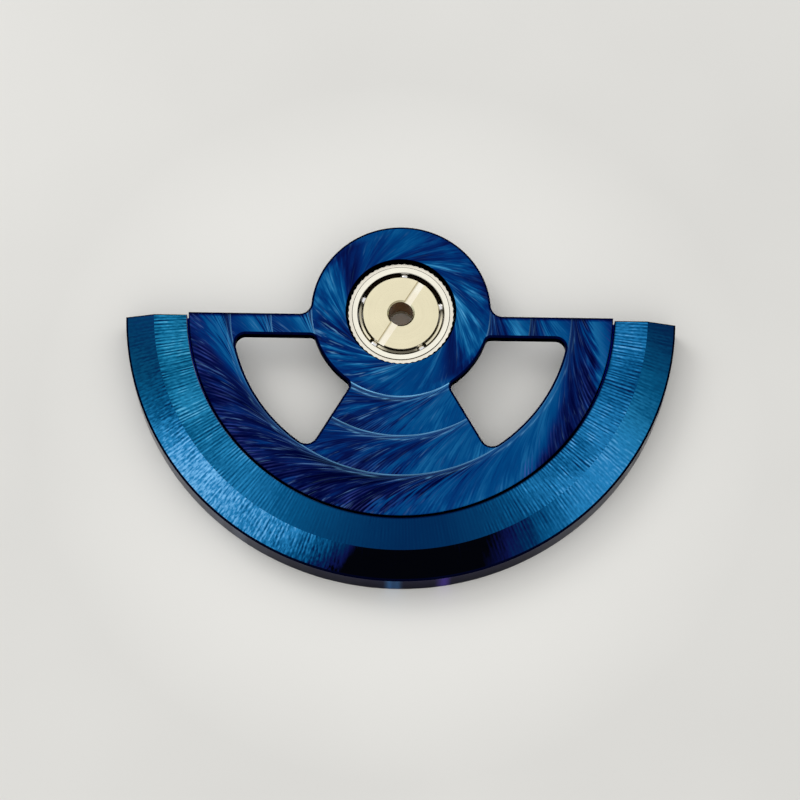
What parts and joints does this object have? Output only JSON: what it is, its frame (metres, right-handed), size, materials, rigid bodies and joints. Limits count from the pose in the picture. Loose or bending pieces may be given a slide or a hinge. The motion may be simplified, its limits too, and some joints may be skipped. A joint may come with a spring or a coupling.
{
  "type": "automatic watch rotor",
  "caption": "Half-round oscillating weight on a skeleton plate, turning freely on a central ball bearing with a toothed drive ring underneath.",
  "frame": {"origin": "on the bearing's axis, at the lower end of its screw hole, in the plane that the inner race's foot and the mass stand on", "axes": "+Z along the bearing's axis, out of the decorated side; +X along the straight edge of the half disc; the mass hangs towards -Y"},
  "size_m": [0.027, 0.0179, 0.0021],
  "materials": {
    "brushed_blue": "radially brushed, blue coated heavy alloy",
    "striped_blue": "circular stripes under a blue coating, with dark edges",
    "bearing_steel": "finely turned, pale",
    "gear_brass": "machined, plated",
    "nickel_cap": "smooth pale champagne nickel",
    "cage_brass": "smooth, pale",
    "ball_steel": "polished"
  },
  "bodies": {
    "inner_race": {"inner_race_cap": "nickel_cap", "inner_race_sleeve": "bearing_steel"},
    "rotor": {"oscillating_mass": "brushed_blue", "rotor_plate": "striped_blue", "bearing_outer_ring": "bearing_steel", "drive_gear": "gear_brass"},
    "cage": {"ball_cage": "cage_brass"},
    "ball_body_1": {"ball_1": "ball_steel"},
    "ball_body_2": {"ball_2": "ball_steel"},
    "ball_body_3": {"ball_3": "ball_steel"},
    "ball_body_4": {"ball_4": "ball_steel"},
    "ball_body_5": {"ball_5": "ball_steel"}
  },
  "joints": [
    {"name": "rotor_spin", "type": "hinge", "parent": "inner_race", "child": "rotor", "pos_m": [0, 0, 0], "axis": [0, 0, 1], "continuous": true},
    {"name": "cage_orbit", "type": "hinge", "parent": "inner_race", "child": "cage", "pos_m": [0, 0, 0], "axis": [0, 0, 1], "continuous": true},
    {"name": "ball_spin_1", "type": "hinge", "parent": "cage", "child": "ball_body_1", "pos_m": [0.00194, 0.00047, 0.0013], "axis": [0, 0, 1], "continuous": true},
    {"name": "ball_spin_2", "type": "hinge", "parent": "cage", "child": "ball_body_2", "pos_m": [0.00016, 0.00199, 0.0013], "axis": [0, 0, 1], "continuous": true},
    {"name": "ball_spin_3", "type": "hinge", "parent": "cage", "child": "ball_body_3", "pos_m": [-0.00185, 0.00077, 0.0013], "axis": [0, 0, 1], "continuous": true},
    {"name": "ball_spin_4", "type": "hinge", "parent": "cage", "child": "ball_body_4", "pos_m": [-0.0013, -0.00152, 0.0013], "axis": [0, 0, 1], "continuous": true},
    {"name": "ball_spin_5", "type": "hinge", "parent": "cage", "child": "ball_body_5", "pos_m": [0.00104, -0.00171, 0.0013], "axis": [0, 0, 1], "continuous": true}
  ],
  "couplings": [
    {"joint": "cage_orbit", "follows": "rotor_spin", "ratio": 0.575},
    {"joint": "ball_spin_1", "follows": "rotor_spin", "ratio": 3.2583},
    {"joint": "ball_spin_2", "follows": "rotor_spin", "ratio": 3.2583},
    {"joint": "ball_spin_3", "follows": "rotor_spin", "ratio": 3.2583},
    {"joint": "ball_spin_4", "follows": "rotor_spin", "ratio": 3.2583},
    {"joint": "ball_spin_5", "follows": "rotor_spin", "ratio": 3.2583}
  ]
}
